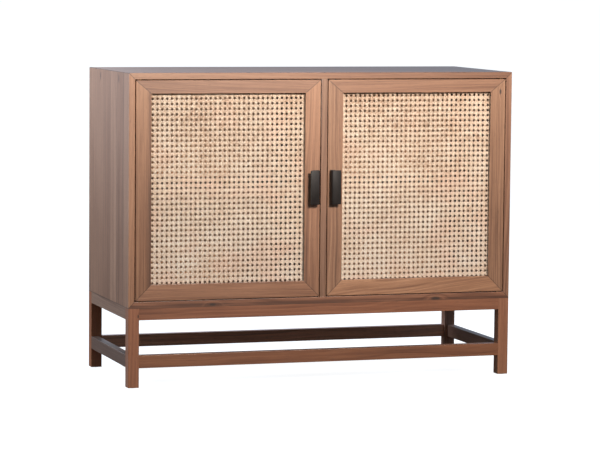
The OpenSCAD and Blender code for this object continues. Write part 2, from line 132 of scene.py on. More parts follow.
soft_light("key", (0.3, -3.1, 1.95), (0.12, -0.2, 1.72), size=0.7, power=41.0, spread=84.0,
           tint=(1.0, 0.89, 0.78))
soft_light("left", (-3.0, 0.7, 1.6), (-0.5, 0.0, 1.2), size=1.2, power=38.0, spread=90.0,
           tint=(0.55, 0.72, 1.0))
soft_light("right", (3.0, 0.9, 1.5), (0.5, 0.0, 0.8), size=1.2, power=16.0, spread=90.0,
           tint=(0.70, 0.80, 1.0))
soft_light("behind", (-0.8, 3.2, 1.5), (-0.4, 0.0, 0.9), size=2.4, power=8.0, spread=180.0,
           tint=(0.97, 0.78, 0.74))


class Wire:
    """A socket of a material or of the surround. Arithmetic on it adds Math nodes."""

    def __init__(self, tree, socket=None):
        self.tree = tree
        self.socket = socket

    def node(self, kind, settings, inputs, output=0):
        """Adds a node with its settings and its sockets' values or wires, and returns an output."""
        made = self.tree.nodes.new("ShaderNode" + kind)
        for name, value in settings.items():
            if name == "stops":
                ramp = made.color_ramp
                while len(ramp.elements) < len(value):
                    ramp.elements.new(0.5)
                for element, (at, colour) in zip(ramp.elements, value):
                    element.position = at
                    element.color = (*colour, 1.0)
            else:
                setattr(made, name, value)
        for key, value in inputs.items():
            if isinstance(value, Wire):
                self.tree.links.new(value.socket, made.inputs[key])
            else:
                made.inputs[key].default_value = value
        if isinstance(output, tuple):
            return [Wire(self.tree, made.outputs[name]) for name in output]
        return Wire(self.tree, made.outputs[output])

    def math(self, operation, first, second=0.0):
        return self.node("Math", {"operation": operation}, {0: first, 1: second})

    def __add__(self, other):
        return self.math("ADD", self, other)

    def __radd__(self, other):
        return self.math("ADD", other, self)

    def __sub__(self, other):
        return self.math("SUBTRACT", self, other)

    def __rsub__(self, other):
        return self.math("SUBTRACT", other, self)

    def __mul__(self, other):
        return self.math("MULTIPLY", self, other)

    def __rmul__(self, other):
        return self.math("MULTIPLY", other, self)

    def __truediv__(self, other):
        return self.math("DIVIDE", self, other)

    def __pow__(self, other):
        return self.math("POWER", self, other)

    def __abs__(self):
        return self.math("ABSOLUTE", self)


def along(spot, axes):
    """The distance of a spot along an axis, or along each of several."""
    return spot.node("SeparateXYZ", {}, {"Vector": spot}, axes)


def pick(factor, stops):
    """The colour that a factor picks between stops, each a place and a colour."""
    return factor.node("ValToRGB", {"stops": stops}, {"Fac": factor})


surround = bpy.data.worlds.new("surround")
surround.use_nodes = True
air = Wire(surround.node_tree)
direction = air.node("TexCoord", {}, {}, "Generated")
dim_below = (0.065, 0.050, 0.042)
cool_above = (0.24, 0.37, 0.50)
lit = pick(along(direction, "Z"), [(0.0, dim_below), (0.35, cool_above)])
glow = air.node("Background", {}, {"Color": lit})
white = air.node("Background", {}, {"Color": (1.0, 1.0, 1.0, 1.0)})
seen = air.node("LightPath", {}, {}, "Is Camera Ray")
both = air.node("MixShader", {}, {0: seen, 1: glow, 2: white})
air.tree.links.new(both.socket, air.tree.nodes["World Output"].inputs["Surface"])
bpy.context.scene.world = surround
bpy.context.scene.view_settings.view_transform = "Standard"


# Case boards
# Four boards of solid wood, glued up from staves, mitred and splined at the corners and
# finished in satin lacquer. Their outer arrises are eased by hand.
GRAIN_TURNS = {
    "X": Euler((0.0, math.pi / 2, 0.0)),
    "Y": Euler((-math.pi / 2, 0.0, 0.0)),
    "Z": Euler((0.0, 0.0, 0.0)),
}
WOOD_TONES = [
    (0.08, (0.150, 0.066, 0.034)),
    (0.38, (0.300, 0.142, 0.077)),
    (0.62, (0.430, 0.222, 0.128)),
    (0.95, (0.560, 0.320, 0.200)),
]
PORE = (0.10, 0.045, 0.022, 1.0)
GLUE = (0.09, 0.045, 0.026, 1.0)
KNOT = (0.040, 0.020, 0.012, 1.0)
# The dark of joint lines, and painted shade on the walls of the door openings.
JOINT_AND_SHADE_DARK = (0.05, 0.022, 0.010, 1.0)
# Pale wood for the walls inside the case: painted light.
INSIDE_PAINTED_LIGHT = (0.78, 0.56, 0.38, 1.0)
RING_WAVES = 210.0  # per metre away from the heart line
KNOT_SQUEEZE = 0.4  # A knot's distances count for less along the grain, which draws it out.
NEAR = 0.00002  # what is this near to a face or an end lies on it
case_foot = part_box("case_bottom")[0].z  # the height at which the case meets the base


def new_material(name):
    """A material with nodes, the wire of its Object coordinates, and its shader."""
    made = bpy.data.materials.new(name)
    made.use_nodes = True
    place = Wire(made.node_tree).node("TexCoord", {}, {}, "Object")
    return made, place, made.node_tree.nodes["Principled BSDF"]


def vectors(operation, first, second, output=0):
    """A spot or a number worked out from two spots."""
    return first.node("VectorMath", {"operation": operation}, {0: first, 1: second}, output)


def noise(spot, waves, detail, roughness=0.5):
    """Noise from 0 to 1 over a spot, with a number of waves per metre along each axis."""
    return spot.node("TexNoise", {}, {
        "Vector": vectors("MULTIPLY", spot, waves),
        "Scale": 1.0,
        "Detail": detail,
        "Roughness": roughness,
    })


def step(value, low, high):
    """A soft step that rises from 0 to 1 as a value goes from low to high."""
    return value.node("MapRange", {"interpolation_type": "SMOOTHSTEP"}, {
        "Value": value,
        "From Min": low,
        "From Max": high,
    })


def blend(factor, under, over):
    """One colour laid over another."""
    return factor.node("Mix", {"data_type": "RGBA"}, {0: factor, 6: under, 7: over}, 2)


def finish(shader, colour, roughness, relief, strength, depth):
    """Gives a shader its colour, its roughness, and a relief of a strength and a depth."""
    bump = relief.node("Bump", {}, {"Strength": strength, "Distance": depth, "Height": relief})
    for name, wire in (("Base Color", colour), ("Roughness", roughness), ("Normal", bump)):
        wire.tree.links.new(wire.socket, shader.inputs[name])


def wood(piece, grain, seed, tint, heart=(0.10, 0.05), drift=(0.01, 0.01), staves=None,
         knots=(), streaks=(), joints=(), opening=None, inside=None, depth=1.0, lean=0.0,
         sheen=0.0):
    """Lacquered wood for one board, cut from a log whose rings run round a heart line.

    grain: the axis that it runs along
    seed: what tells this board's figure from the others'
    tint: what the tones of the wood are multiplied by
    heart: how far the heart line is from the board's middle
    drift: the angles between the heart line and the grain's axis
    staves: the axis across the glued staves, and their width
    knots: for each, its place and its radius
    streaks: for each dark streak, an axis across the grain, the place on it, half its width
        and its strength
    joints: for each dark line of a joint on the board's face, two points on the line, the first
        of them on the board
    opening: the low and high corner of an opening, whose walls are darkened toward the back with
    painted shade
    inside: the low and high corner of the room inside the case, whose walls are made paler with
    painted light
    depth: the strength of the rings and stripes
    lean: how much the tone changes per metre along the grain
    sheen: the strength of the sheen
    """
    rng = random.Random(seed)
    turn = GRAIN_TURNS[grain].copy()
    turn.x += drift[0]
    turn.y += drift[1]
    corners = [Vector(corner) for corner in piece.bound_box]
    low, high = corners[0], corners[6]
    middle = sum(corners, Vector()) / len(corners)
    made, place, shader = new_material(piece.name + "_wood")
    board = place.node("Mapping", {"vector_type": "TEXTURE"}, {
        "Vector": place, "Location": middle, "Rotation": turn,
    })
    shift = Vector([rng.uniform(0.0, 9.0) for _ in range(3)])
    local = board
    if staves:
        axis, width = staves
        count = along(place, axis) / width + rng.uniform(20.0, 21.0)
        number = place.math("FLOOR", count)
        toss = place.node("TexWhiteNoise", {"noise_dimensions": "1D"}, {"W": number}, "Color")
        local = vectors("ADD", board, vectors("MULTIPLY", toss, (0.05, 0.05, 4.0)))
        stave_tone = along(toss, "X") - 0.5
        edge = abs(place.math("FRACT", count) - 0.5)
        glue = step(edge, 0.5 - 0.0012 / width, 0.5 - 0.0004 / width)
    log = vectors("ADD", local, shift)
    x, y = along(local, ("X", "Y"))

    # The distance from the heart, which swells and ripples along the log and bends round knots.
    swell = noise(log, (7.0, 7.0, 1.6), 2.0) - 0.5
    ripple = noise(log, (55.0, 55.0, 6.0), 1.0) - 0.5
    away = ((x + heart[0]) ** 2.0 + (y + heart[1]) ** 2.0) ** 0.5
    away = away + 0.035 * swell + 0.003 * ripple
    flat = turn.to_matrix().inverted()
    knot_core = 0.0
    for at, radius in knots:
        spot = flat @ (Vector(at) - middle)
        squeezed = vectors("MULTIPLY", board, (1.0, 1.0, KNOT_SQUEEZE))
        far = vectors("DISTANCE", squeezed, (spot.x, spot.y, spot.z * KNOT_SQUEEZE), "Value")
        away = away + (1.0 - step(far, 0.0, radius * 3.5)) * radius * 2.2
        knot_core = knot_core + (1.0 - step(far, radius * 0.5, radius * 1.3))
    rings = place.node("TexNoise", {"noise_dimensions": "1D"}, {
        "W": RING_WAVES * away + shift.x, "Scale": 1.0, "Detail": 3.0, "Roughness": 0.65,
    }) - 0.5
    stripes = noise(log, (150.0, 150.0, 3.5), 2.0, 0.6) - 0.5
    fibres = noise(log, (900.0, 900.0, 22.0), 2.0) - 0.5
    clouds = noise(log, (9.0, 9.0, 2.2), 2.0) - 0.5
    pores = step(noise(log, (1500.0, 1500.0, 60.0), 0.0), 0.66, 0.76)

    tone = 0.5 + 0.85 * depth * rings + 0.65 * depth * stripes + 0.35 * fibres + 0.5 * clouds
    if staves:
        tone = tone + 0.16 * stave_tone
    if lean:
        tone = tone + lean * (along(place, grain) - middle["XYZ".index(grain)])
    for axis, at, half, dark in streaks:
        beside = abs(along(place, axis) + 0.010 * swell - at)
        tone = tone - dark * (1.0 - step(beside, half * 0.3, half))
    tones = [(at, [a * b for a, b in zip(colour, tint)]) for at, colour in WOOD_TONES]
    colour = blend(0.35 * pores, pick(tone, tones), PORE)
    if staves:
        colour = blend(0.75 * glue, colour, GLUE)
    if knots:
        colour = blend(0.9 * knot_core, colour, KNOT)
    # Painted light: the walls inside the case are paler, for the dim room behind the cane.
    if inside:
        across, backward = along(place, ("X", "Y"))
        half = (inside[1].x - inside[0].x) / 2
        hidden = 1.0 - step(abs(across), half, half + 0.0006)
        hidden = hidden * step(backward, inside[0].y, inside[0].y + 0.0006)
        colour = blend(0.7 * hidden, colour, INSIDE_PAINTED_LIGHT)
    for first, second in joints:
        if all(low[axis] - 0.001 < first[axis] < high[axis] + 0.001 for axis in (0, 2)):
            run = (second - first).normalized()
            off = vectors("SUBTRACT", place, first)
            off = vectors("DOT_PRODUCT", off, (run.z, 0.0, -run.x), "Value")
            line = 1.0 - step(abs(off), 0.0003, 0.0011)
            colour = blend(0.8 * line, colour, JOINT_AND_SHADE_DARK)
    # Painted shade: the walls of the opening grow darker toward the back of the recess.
    if opening:
        across, backward, height = along(place, ("X", "Y", "Z"))
        (left, bottom), (right, top) = opening
        beside = abs(across - (left + right) / 2) - (right - left) / 2
        above = abs(height - (bottom + top) / 2) - (top - bottom) / 2
        wall = 1.0 - step(place.math("MAXIMUM", beside, above), 0.0002, 0.0008)
        wall = wall * step(backward, low.y + 0.0008, low.y + 0.003)
        colour = blend(0.7 * wall, colour, JOINT_AND_SHADE_DARK)
    roughness = 0.44 + 0.12 * fibres + 0.1 * pores
    relief = 0.5 * fibres + 0.35 * rings - 0.8 * pores
    finish(shader, colour, roughness, relief, strength=0.35, depth=0.00025)
    shader.inputs["Coat Weight"].default_value = 1.0
    shader.inputs["Coat Roughness"].default_value = 0.42
    shader.inputs["Sheen Weight"].default_value = sheen
    piece.data.materials.append(made)


def work_on(piece):
    """Makes a piece the only one selected."""
    bpy.ops.object.select_all(action="DESELECT")
    piece.select_set(True)
    bpy.context.view_layer.objects.active = piece


def eased_board(node, ease=0.0008):
    """The board of a CAD node as one clean solid, with its outer arrises eased.

    The edges where the case and the base meet stay sharp.
    """
    low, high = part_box(node)
    piece = bpy.data.objects.new(node + "_eased", nodes[node].data.copy())
    piece.data.materials.clear()
    bpy.context.scene.collection.objects.link(piece)
    work_on(piece)
    bpy.ops.mesh.customdata_custom_splitnormals_clear()
    bpy.ops.object.mode_set(mode="EDIT")
    bpy.ops.mesh.select_mode(type="EDGE")
    bpy.ops.mesh.select_all(action="SELECT")
    bpy.ops.mesh.remove_doubles(threshold=0.000005)
    bpy.ops.mesh.dissolve_limited(angle_limit=math.radians(1.0))
    bpy.ops.mesh.select_all(action="DESELECT")
    mesh = bmesh.from_edit_mesh(piece.data)
    for edge in mesh.edges:
        if len(edge.link_faces) != 2 or edge.calc_face_angle() < math.radians(30.0):
            continue
        sides = set()
        for axis in range(3):
            for limit in (low, high):
                if all(abs(v.co[axis] - limit[axis]) < NEAR for v in edge.verts):
                    sides.add((axis, limit is low))
        joined = all(abs(v.co.z - case_foot) < NEAR for v in edge.verts)
        edge.select_set(len(sides) > 1 and not joined)
    bmesh.update_edit_mesh(piece.data)
    bpy.ops.mesh.bevel(offset=ease, segments=2, affect="EDGES", clamp_overlap=False)
    bpy.ops.object.mode_set(mode="OBJECT")
    bpy.ops.object.shade_smooth_by_angle(angle=math.radians(35.0))
    for vertex in piece.data.vertices:
        vertex.co = [min(max(at, least), most) for at, least, most in zip(vertex.co, low, high)]
    for face in piece.data.polygons:
        if max(abs(n) for n in face.normal) > 0.9999:
            face.use_smooth = False
    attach(piece, nodes[node]["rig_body"])
    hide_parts(node)
    return piece


def frame_mitres(left, right, bottom, top):
    """The outer and inner corners of a frame's four mitres, from the nodes of its members."""
    (left_out, _, _), (left_in, _, _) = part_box(left)
    (right_in, _, _), (right_out, _, _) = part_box(right)
    (_, _, bottom_out), (_, _, bottom_in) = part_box(bottom)
    (_, _, top_in), (_, _, top_out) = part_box(top)
    return [
        (Vector((out_x, 0.0, out_z)), Vector((in_x, 0.0, in_z)))
        for out_x, in_x in ((left_out, left_in), (right_out, right_in))
        for out_z, in_z in ((bottom_out, bottom_in), (top_out, top_in))
    ]


def case_joint(node):
    """The line along a board where the case and the base meet."""
    low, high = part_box(node)
    return [(Vector((low.x, 0.0, case_foot)), Vector((high.x, 0.0, case_foot)))]


case_mitres = frame_mitres("case_side_left", "case_side_right", "case_bottom", "case_top")
# The room inside the case, whose walls get painted light.
bays = (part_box("case_side_left")[1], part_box("case_side_right")[0])
bays[0].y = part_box("left_hinge_stile")[1].y
wood(eased_board("case_top"), "X", 3, (0.82, 0.75, 0.70), (0.02, 0.11),
     staves=("Y", 0.040), joints=case_mitres, lean=-0.50, sheen=0.02)
wood(eased_board("case_bottom"), "X", 8, (0.83, 0.67, 0.59), (0.03, 0.09),
     staves=("Y", 0.074), joints=case_mitres + case_joint("case_bottom"),
     knots=[((0.306, -0.1955, 0.2030), 0.0050), ((-0.290, -0.1955, 0.2045), 0.0038)],
     streaks=[("Z", 0.2035, 0.0050, 0.30)])
# The left side's lean is painted light: it is lighter toward the top, as the light falls.
wood(eased_board("case_side_left"), "Z", 12, (1.00, 0.92, 0.82), (0.07, 0.06),
     staves=("Y", 0.068), joints=case_mitres + case_joint("case_side_left"),
     knots=[((-0.508, -0.094, 0.766), 0.0045), ((-0.508, 0.093, 0.766), 0.0045)],
     streaks=[("Y", at, 0.0022, 0.30)
              for at in (0.168, 0.111, 0.040, 0.013, -0.040, -0.076, -0.094, -0.138, -0.178)],
     inside=bays, depth=0.6, lean=0.22)
wood(eased_board("case_side_right"), "Z", 17, (0.83, 0.75, 0.72), (0.06, 0.07),
     staves=("Y", 0.070), joints=case_mitres + case_joint("case_side_right"), inside=bays)

# Center divider
# One upright board between the two bays, doweled to the top and bottom of the case. Its front
# edge shows between the doors.
wood(eased_board("center_divider"), "Z", 21, (0.80, 0.79, 0.80), (0.05, 0.08),
     staves=("Y", 0.072), inside=bays)

# Back panel
# Thin plywood with a pale face of broad veneers, sealed, and screwed into a rebate of the case
# from behind.
wood(eased_board("back_panel", 0.0003), "Z", 26, (1.95, 1.90, 1.65), (0.16, 0.03),
     staves=("X", 0.165), depth=0.8)

# Shelves
# One loose board in each bay, glued up from staves, with eased edges. It rests on four pins
# and lifts out by hand.
wood(eased_board("shelf_left"), "X", 31, (0.97, 0.96, 0.95), (0.04, 0.10),
     staves=("Y", 0.080))
wood(eased_board("shelf_right"), "X", 37, (1.0, 0.96, 0.93), (0.05, 0.12),
     staves=("Y", 0.076))

# Base
# Four square legs with aprons under the case and stretchers near the floor, tenoned together.
# The wood is a little redder and darker than the case's, and plainer in the legs.
base_hearts = {"X": (0.03, 0.08), "Y": (0.05, 0.06), "Z": (0.05, 0.04)}
# The back stretcher's tint, about twice the others', is painted light on a board in shade, and the
# left stretcher's low tint is painted shade.
base_boards = {
    "leg_front_left": ("Z", 41, (0.97, 0.71, 0.57)),
    "leg_front_right": ("Z", 42, (1.10, 0.90, 0.78)),
    "leg_back_left": ("Z", 43, (1.00, 0.56, 0.30)),
    "leg_back_right": ("Z", 44, (0.86, 0.72, 0.64)),
    "apron_front": ("X", 51, (0.80, 0.57, 0.44)),
    "apron_back": ("X", 52, (0.70, 0.60, 0.55)),
    "apron_left": ("Y", 61, (0.77, 0.76, 0.73)),
    "apron_right": ("Y", 62, (0.80, 0.70, 0.64)),
    "stretcher_front": ("X", 53, (0.78, 0.57, 0.42)),
    "stretcher_back": ("X", 54, (1.90, 1.80, 1.85)),
    "stretcher_left": ("Y", 63, (0.42, 0.41, 0.41)),
    "stretcher_right": ("Y", 64, (0.70, 0.62, 0.58)),
}
base_knots = {"leg_front_left": [((-0.4825, -0.1955, 0.180), 0.002)]}
for node, (grain, seed, tint) in base_boards.items():
    wood(eased_board(node), grain, seed, tint, base_hearts[grain],
         knots=base_knots.get(node, ()), depth=0.45 if grain == "Z" else 0.9,
         joints=() if node.startswith("stretcher") else case_joint(node))

# Door frames
# Each door is a mitred and splined frame of two stiles and two rails, inset between the case's
# boards and rebated behind for the cane.
door_mitres = {
    "left": frame_mitres("left_hinge_stile", "left_pull_stile", "left_bottom_rail",
                         "left_top_rail"),
    "right": frame_mitres("right_pull_stile", "right_hinge_stile", "right_bottom_rail",
                          "right_top_rail"),
}
# The last number of each board is its lean: on the stiles it is painted light, a change of tone
# from top to bottom as the light falls.
door_boards = {
    "left_hinge_stile": ("Z", 71, (0.91, 0.83, 0.72), (0.11, 0.07), (0.006, 0.0), 0.62),
    "left_pull_stile": ("Z", 72, (1.03, 0.96, 0.90), (0.09, 0.10), (0.0, 0.008), 0.65),
    "left_top_rail": ("X", 73, (0.92, 0.89, 0.90), (0.012, 0.018), (0.0, 0.035), 0.0),
    "left_bottom_rail": ("X", 74, (1.0, 0.91, 0.84), (0.07, 0.09), (0.0, 0.02), 0.0),
    "right_hinge_stile": ("Z", 75, (1.0, 1.0, 0.97), (0.09, 0.06), (0.01, 0.004), 0.32),
    "right_pull_stile": ("Z", 76, (0.96, 0.94, 0.90), (0.06, 0.10), (0.0, 0.006), -0.1),
    "right_top_rail": ("X", 77, (0.95, 0.91, 0.88), (0.08, 0.08), (0.0, -0.02), 0.0),
    "right_bottom_rail": ("X", 78, (1.25, 1.20, 1.10), (0.03, 0.05), (0.0, -0.10), 0.0),
}
door_knots = {"right_hinge_stile": [((0.4765, -0.1955, 0.7335), 0.0030)]}
door_streaks = {"left_hinge_stile": [("X", -0.4535, 0.0065, 0.22)]}
# The walls of each door's opening get painted shade toward the back.
for node, (grain, seed, tint, heart, drift, lean) in door_boards.items():
    mitres = door_mitres[node.split("_")[0]]
    inner_corners = [inner.xz for _, inner in mitres]
    wood(eased_board(node), grain, seed, tint, heart, drift, joints=mitres,
         knots=door_knots.get(node, ()), streaks=door_streaks.get(node, ()),
         opening=(inner_corners[0], inner_corners[-1]), lean=lean)

# Woven cane
# Split cane woven six ways: pairs of strands upright and level, and single strands on both
# slants, round eight-sided openings. Beads hold each panel in the rebate of its door.
MESH_X = 0.01240
MESH_Z = 0.01305
STRAND_T = 0.00050
PAIR_HALF = 0.00158  # from the middle of a pair to the middle of each of its strands
PAIR_W = 0.00308
SLANT_W = 0.00345
PAIR_LIFT = 0.00028
SLANT_LIFT = 0.00050
WANDER_SEED = 5  # without a seed, this noise would start from the clock
CUT_EDGE_AND_SHADE = (0.50, 0.26, 0.12, 1.0)
BLUSH = (0.84, 0.52, 0.38, 1.0)


def strand(name, width, stations):
    """One mesh's length of a strand along X. A station is a distance and a height to the front.

    Two flat sides of a hexagon face front and back, and its corners between them are the rim.
    """
    bpy.ops.object.select_all(action="DESELECT")
    bpy.ops.mesh.primitive_circle_add(
        vertices=6, radius=1.0, rotation=(math.pi / 2, 0.0, math.pi / 2))
    piece = bpy.context.object
    piece.name = name
    piece.scale = (STRAND_T / 2 / math.sin(math.pi / 3), width / 2, 1.0)
    bpy.ops.object.transform_apply(location=True, rotation=True, scale=True)
    rim = piece.data.attributes.new("rim", "FLOAT", "POINT")
    for vertex, item in zip(piece.data.vertices, rim.data):
        item.value = 1.0 if abs(vertex.co.z) > width * 0.4 else 0.0
    bpy.ops.object.mode_set(mode="EDIT")
    bpy.ops.mesh.select_all(action="SELECT")
    bpy.ops.transform.translate(value=(stations[0][0], -stations[0][1], 0.0))
    for (before, low), (after, high) in zip(stations, stations[1:]):
        bpy.ops.mesh.extrude_region_move(
            TRANSFORM_OT_translate={"value": (after - before, low - high, 0.0)})
    bpy.ops.object.mode_set(mode="OBJECT")
    return piece


def repeat(piece, count, step_by, merge=False):
    """Copies a piece's mesh along a line."""
    work_on(piece)
    row = piece.modifiers.new("row", "ARRAY")
    row.count = count
    row.use_relative_offset = False
    row.use_constant_offset = True
    row.constant_offset_displace = step_by
    row.use_merge_vertices = merge
    row.merge_threshold = 0.00001
    bpy.ops.object.modifier_apply(modifier=row.name)


def pairs(name, run, spacing, lengths, rows, angle):
    """Pairs of strands along X, then turned about Y. Only a pair's outer edges show as rims."""
    piece = strand(name, PAIR_W, [
        (-run / 2, 0.0), (-PAIR_HALF, PAIR_LIFT), (0.0, 0.0), (PAIR_HALF, -PAIR_LIFT),
        (run / 2, 0.0),
    ])
    for vertex, item in zip(piece.data.vertices, piece.data.attributes["rim"].data):
        if vertex.co.z < 0.0:
            item.value = 0.0
    repeat(piece, lengths, (run, 0.0, 0.0), True)
    bpy.ops.object.mode_set(mode="EDIT")
    bpy.ops.mesh.select_all(action="SELECT")
    bpy.ops.transform.translate(value=(0.0, 0.0, PAIR_HALF))
    bpy.ops.mesh.duplicate_move(TRANSFORM_OT_translate={"value": (0.0, 0.0, -2 * PAIR_HALF)})
    bpy.ops.transform.resize(
        value=(1.0, -1.0, 1.0), center_override=(0.0, 0.0, 0.0))
    bpy.ops.mesh.select_all(action="SELECT")
    bpy.ops.mesh.normals_make_consistent(inside=False)
    bpy.ops.object.mode_set(mode="OBJECT")
    repeat(piece, rows, (0.0, 0.0, spacing))
    piece.rotation_euler = (0.0, angle, 0.0)
    bpy.ops.object.transform_apply(location=True, rotation=True, scale=True)
    return piece


def slants(name, side, lengths, rows):
    """Single strands along one slant, side 1 falling to the right and side -1 rising.

    Over one mesh a strand goes behind one pair of strands and in front of the other.
    """
    run = math.hypot(MESH_X, MESH_Z)
    piece = strand(name, SLANT_W, [
        (at * run, side * height)
        for at, height in ((-0.2, -SLANT_LIFT), (0.2, -SLANT_LIFT), (0.3, SLANT_LIFT),
                           (0.7, SLANT_LIFT), (0.8, -SLANT_LIFT))
    ])
    repeat(piece, lengths, (run, 0.0, 0.0), True)
    piece.rotation_euler = (0.0, side * math.atan2(MESH_Z, MESH_X), 0.0)
    bpy.ops.object.transform_apply(location=True, rotation=True, scale=True)
    repeat(piece, rows, (MESH_X, 0.0, 0.0))
    bpy.ops.object.mode_set(mode="EDIT")
    bpy.ops.mesh.select_all(action="SELECT")
    bpy.ops.transform.translate(value=(MESH_X / 2, 0.0, 0.0))
    bpy.ops.mesh.normals_make_consistent(inside=False)
    bpy.ops.object.mode_set(mode="OBJECT")
    return piece


def cane_skin(name, light, middle):
    """Split cane: pale straw with a soft gloss, browner along the edges of each strand, partly the
    cut edges' own colour and partly painted shade round the openings.

    Each strand has its own tone, and toward a panel's foot they are rosier and, as painted light,
    paler.
    """
    made, place, shader = new_material(name)
    own = place.node("Attribute", {"attribute_name": "strand"}, {}, "Fac")
    edge_cut_and_shade = place.node("Attribute", {"attribute_name": "rim"}, {}, "Fac")
    patch = noise(place, (14.0, 14.0, 14.0), 2.0) - 0.5
    lengthwise = noise(place, (90.0, 90.0, 90.0), 2.0) - 0.5
    fine = noise(place, (1400.0, 1400.0, 1400.0), 1.0) - 0.5
    below = middle - along(place, "Z")
    tone = 0.55 + 0.35 * (own - 0.5) + 0.7 * patch + 0.8 * lengthwise + 0.25 * fine
    # Painted light: the strands grow paler toward the panel's foot.
    tone = tone + 0.85 * below
    stops = [
        (at, [c * light for c in colour])
        for at, colour in ((0.05, (0.56, 0.36, 0.24)), (0.40, (0.80, 0.60, 0.44)),
                           (0.75, (0.91, 0.745, 0.585)), (1.0, (0.95, 0.825, 0.68)))
    ]
    blush = step(noise(place, (11.0, 11.0, 11.0), 1.0), 0.48, 0.68)
    colour = blend(0.3 * blush + 0.55 * below, pick(tone, stops), BLUSH)
    colour = blend(0.45 * step(edge_cut_and_shade, 0.35, 1.0), colour, CUT_EDGE_AND_SHADE)
    finish(shader, colour, 0.42 + 0.2 * fine, fine, strength=0.3, depth=0.0001)
    return made


def tone_strands(piece, count_by, seed):
    """Gives each strand of a direction its own tone, kept as an attribute of the mesh.

    The strands are counted by meshes across, meshes up, and a start.
    """
    rng = random.Random(seed)
    tones = [rng.random() for _ in range(512)]
    per_x, per_z, start = count_by
    attribute = piece.data.attributes.new("strand", "FLOAT", "POINT")
    for vertex, item in zip(piece.data.vertices, attribute.data):
        line = per_x * (vertex.co.x / MESH_X) + per_z * (vertex.co.z / MESH_Z) + start
        item.value = tones[math.floor(line) % len(tones)]


def wander(piece, shift):
    """Lets the weave wander by about half a millimetre at most, as a stretched sheet does."""
    seed_set(WANDER_SEED)
    for vertex in piece.data.vertices:
        drift = noise_vector((vertex.co + Vector((0.0, shift, 0.0))) * 11.0) * 0.0007
        vertex.co.x += drift.x
        vertex.co.z += drift.z


def cut_sheet(piece, low, high):
    """Cuts the weave to the size of its sheet and closes the cut strands."""
    work_on(piece)
    bpy.ops.object.mode_set(mode="EDIT")
    for point, out in ((low, (-1, 0, 0)), (low, (0, 0, -1)), (high, (1, 0, 0)), (high, (0, 0, 1))):
        bpy.ops.mesh.select_all(action="SELECT")
        bpy.ops.mesh.bisect(plane_co=point, plane_no=out, use_fill=True, clear_outer=True)
    bpy.ops.object.mode_set(mode="OBJECT")
    bpy.ops.object.shade_smooth_by_angle(angle=math.radians(50.0))


sheet_low, sheet_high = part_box("left_cane")
columns = math.ceil((sheet_high.x - sheet_low.x) / MESH_X) + 3
rows = math.ceil((sheet_high.z - sheet_low.z) / MESH_Z) + 3
# For each direction: its strands, how they are counted, where they start in meshes across and up,
# and their light; the pairs' light, above the slants', is a painted highlight.
weave = {
    "level": (pairs("level", MESH_X, MESH_Z, columns, rows, 0.0),
              (0, 2, 1), (0, 0), 1.00),
    "upright": (pairs("upright", MESH_Z, MESH_X, rows, columns, -math.pi / 2),
                (2, 0, 1), (columns, 0), 1.00),
    "falling": (slants("falling", 1, rows, columns + rows),
                (1, 1, 0), (-rows, rows), 0.88),
    "rising": (slants("rising", -1, rows, columns + rows),
               (1, -1, 0), (-rows, 0), 0.88),
}
# For each panel: the place of one opening from the sheet's lower corner, how far the sheet is
# stretched across and up, its light, its first seed, and where in the noise it wanders.
panels = {
    "left": ((0.0034, 0.0121), (1.0016, 1.0065), 0.96, 240, 12.0),
    "right": ((0.0104, 0.0098), (0.9976, 0.9939), 1.00, 250, 15.0),
}
for side, (opening, stretch, panel_light, first_seed, shift) in panels.items():
    node = side + "_cane"
    low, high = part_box(node)
    origin = Vector((
        low.x + opening[0] - 1.5 * MESH_X * stretch[0],
        (low.y + high.y) / 2,
        low.z + opening[1] - 1.5 * MESH_Z * stretch[1],
    ))
    for seed, kind in enumerate(weave, first_seed):
        master, count_by, (across, up), strand_light = weave[kind]
        panel = bpy.data.objects.new(side + "_cane_" + kind, master.data.copy())
        bpy.context.scene.collection.objects.link(panel)
        tone_strands(panel, count_by, seed)
        panel.location = (across * MESH_X, 0.0, up * MESH_Z)
        work_on(panel)
        bpy.ops.object.transform_apply(location=True, rotation=True, scale=True)
        panel.scale = (stretch[0], 1.0, stretch[1])
        panel.location = origin
        bpy.ops.object.transform_apply(location=True, rotation=True, scale=True)
        wander(panel, shift)
        cut_sheet(panel, low, high)
        skin = cane_skin(panel.name + "_skin", strand_light * panel_light, (low.z + high.z) / 2)
        panel.data.materials.append(skin)
        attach(panel, "door_" + side)
        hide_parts(node)
for master, *_ in weave.values():
    bpy.data.objects.remove(master)

# Pulls
# Each pull is one strip of blackened steel, bent twice: a front plate, a web by the door's free
# edge, and a foot that two screws hold from inside the door.
STRIP = 0.003
FOOT = 0.015
BEND = 0.0045
CORNER = 0.0015
ARRIS = 0.0004


def choose(parts, test):
    """Selects the edges or vertices of a mesh in edit mode that pass a test."""
    for part in parts:
        part.select_set(test(part))


def blackened_steel():
    """Satin black with a faint cloud and a fine grit."""
    made, place, shader = new_material("blackened_steel")
    cloud = noise(place, (60.0, 60.0, 40.0), 3.0, 0.6)
    grit = noise(place, (900.0, 900.0, 900.0), 2.0, 0.6)
    stops = [(0.3, (0.014, 0.0115, 0.0105)), (0.7, (0.031, 0.025, 0.023))]
    colour = pick(0.7 * cloud + 0.3 * grit, stops)
    finish(shader, colour, 0.38 + 0.25 * cloud, grit, strength=0.25, depth=0.0001)
    shader.inputs["Specular IOR Level"].default_value = 0.35
    return made


